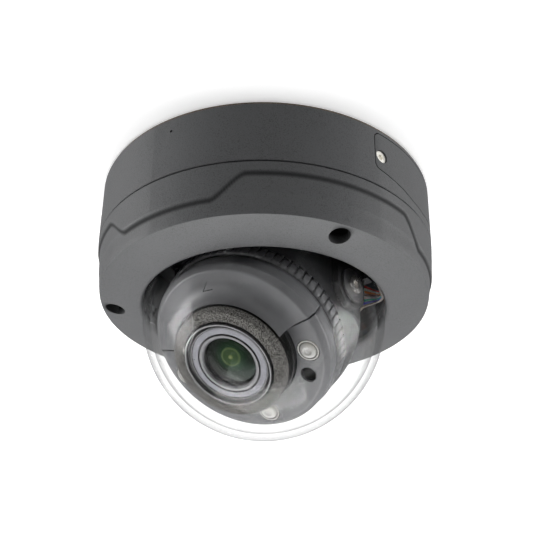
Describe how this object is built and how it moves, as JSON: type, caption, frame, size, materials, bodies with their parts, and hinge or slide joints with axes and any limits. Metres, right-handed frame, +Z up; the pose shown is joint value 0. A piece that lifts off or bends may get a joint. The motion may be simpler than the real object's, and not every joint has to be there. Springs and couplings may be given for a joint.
{
  "type": "dome cctv camera",
  "caption": "Ceiling dome security camera: round metal housing, clear dome, and a varifocal lens ball with infrared lamps that pans, tilts and rolls.",
  "frame": {"origin": "centre of the flat face that rests on the ceiling", "axes": "+Z points up into the ceiling, the camera hangs towards -Z; -Y is the front of the housing, from where the lens looks down and to the -X side at rest"},
  "size_m": [0.122, 0.122, 0.0926],
  "materials": {
    "black_powder_coat": "fine-textured charcoal powder coat",
    "service_coat": "fine-textured charcoal powder coat",
    "gasket_foam": "matt brown-grey foam",
    "black_rubber": "matt",
    "steel": "zinc-plated",
    "bright_steel": "polished",
    "board_green": "solder-masked glass fibre board",
    "board_black": "black solder mask",
    "chip_black": "moulded",
    "connector_white": "moulded",
    "card_black": "moulded",
    "socket_steel": "pressed",
    "thermal_grey": "soft",
    "button_red": "moulded",
    "black_plastic": "moulded, matt",
    "ball_plastic": "moulded, fine texture",
    "foam": "speckled foam",
    "clear_dome": "clear, polished",
    "clear_lens": "clear",
    "lens_glass": "coated",
    "sensor_dark": "dark window",
    "name_ring": "satin",
    "lens_black": "black anodised",
    "led_yellow": "lamp chip",
    "wires": "coloured insulation",
    "motor_metal": "satin",
    "gear_plastic": "moulded",
    "sheet_steel": "plated sheet"
  },
  "bodies": {
    "housing": {"base_housing": "black_powder_coat", "mounting_gasket": "gasket_foam", "cable_grommet": "black_rubber", "service_cover": "service_coat", "service_cover_gasket": "black_rubber", "service_cover_screws": "bright_steel", "card_board": "board_green", "board_link": "chip_black", "card_socket": "socket_steel", "memory_card": "card_black", "reset_switch": "chip_black", "mic_seal": "black_rubber", "microphone": "socket_steel", "main_board": "board_green", "frame_screws": "steel", "processor": "chip_black", "thermal_pad": "thermal_grey", "board_connectors": "connector_white", "chassis_plate": "sheet_steel", "pan_retainer": "black_plastic", "retainer_screws": "steel", "dome_cover": "black_powder_coat", "cover_seal": "black_rubber", "cover_screws": "steel", "clear_dome": "clear_dome", "dome_gasket": "black_rubber", "dome_retainer": "black_plastic", "dome_screws": "steel"},
    "pan_carrier": {"pan_bracket": "black_plastic", "wire_harness": "wires", "harness_plugs": "connector_white"},
    "tilt_shell": {"rear_shell": "ball_plastic", "tilt_washers": "black_plastic", "tilt_screws": "bright_steel"},
    "lens_module": {"knurled_ring": "ball_plastic", "roll_retainer": "black_plastic", "ir_panel": "ball_plastic", "hood": "ball_plastic", "foam_ring": "foam", "module_frame": "black_plastic", "led_board": "board_black", "led_chips": "led_yellow", "led_lenses": "clear_lens", "light_sensor": "sensor_dark", "lens_body": "black_plastic", "lens_motors": "motor_metal", "lens_barrel": "lens_black", "name_ring": "name_ring", "front_lens": "lens_glass", "inner_lenses": "lens_glass", "aperture_plate": "lens_black", "lens_mount": "black_plastic", "sensor_board": "board_green", "image_sensor": "chip_black", "sensor_screws": "steel"},
    "reset_button": {"reset_button": "button_red"},
    "focus_ring": {"focus_ring": "gear_plastic"},
    "zoom_ring": {"zoom_ring": "gear_plastic"},
    "focus_pinion": {"focus_pinion": "gear_plastic"},
    "zoom_pinion": {"zoom_pinion": "gear_plastic"}
  },
  "joints": [
    {"name": "pan", "type": "hinge", "parent": "housing", "child": "pan_carrier", "pos_m": [0, 0, -0.0485], "axis": [0, 0, 1], "range_deg": [-177.5, 177.5]},
    {"name": "tilt", "type": "hinge", "parent": "pan_carrier", "child": "tilt_shell", "pos_m": [0, 0, -0.0485], "axis": [0.788, -0.6157, 0], "range_deg": [-40, 35.5]},
    {"name": "roll", "type": "hinge", "parent": "tilt_shell", "child": "lens_module", "pos_m": [0, 0, -0.0485], "axis": [-0.3575, -0.4576, -0.8141], "range_deg": [-177.5, 177.5]},
    {"name": "focus_ring_turn", "type": "hinge", "parent": "lens_module", "child": "focus_ring", "pos_m": [0, 0, -0.0485], "axis": [-0.3575, -0.4576, -0.8141], "range_deg": [-45, 45]},
    {"name": "zoom_ring_turn", "type": "hinge", "parent": "lens_module", "child": "zoom_ring", "pos_m": [0, 0, -0.0485], "axis": [-0.3575, -0.4576, -0.8141], "range_deg": [-45, 45]},
    {"name": "focus_pinion_turn", "type": "hinge", "parent": "lens_module", "child": "focus_pinion", "pos_m": [-0.01304, 0.01431, -0.05082], "axis": [-0.3575, -0.4576, -0.8141], "range_deg": [-151, 151]},
    {"name": "zoom_pinion_turn", "type": "hinge", "parent": "lens_module", "child": "zoom_pinion", "pos_m": [0.01802, -0.00582, -0.05314], "axis": [-0.3575, -0.4576, -0.8141], "range_deg": [-151, 151]},
    {"name": "reset_press", "type": "slide", "parent": "housing", "child": "reset_button", "axis": [-0.8746, 0.4848, 0], "range_m": [0, 0.0004], "stiffness_N_per_m": 800}
  ],
  "couplings": [
    {"joint": "focus_pinion_turn", "follows": "focus_ring_turn", "ratio": -3.3333},
    {"joint": "zoom_pinion_turn", "follows": "zoom_ring_turn", "ratio": -3.3333}
  ]
}
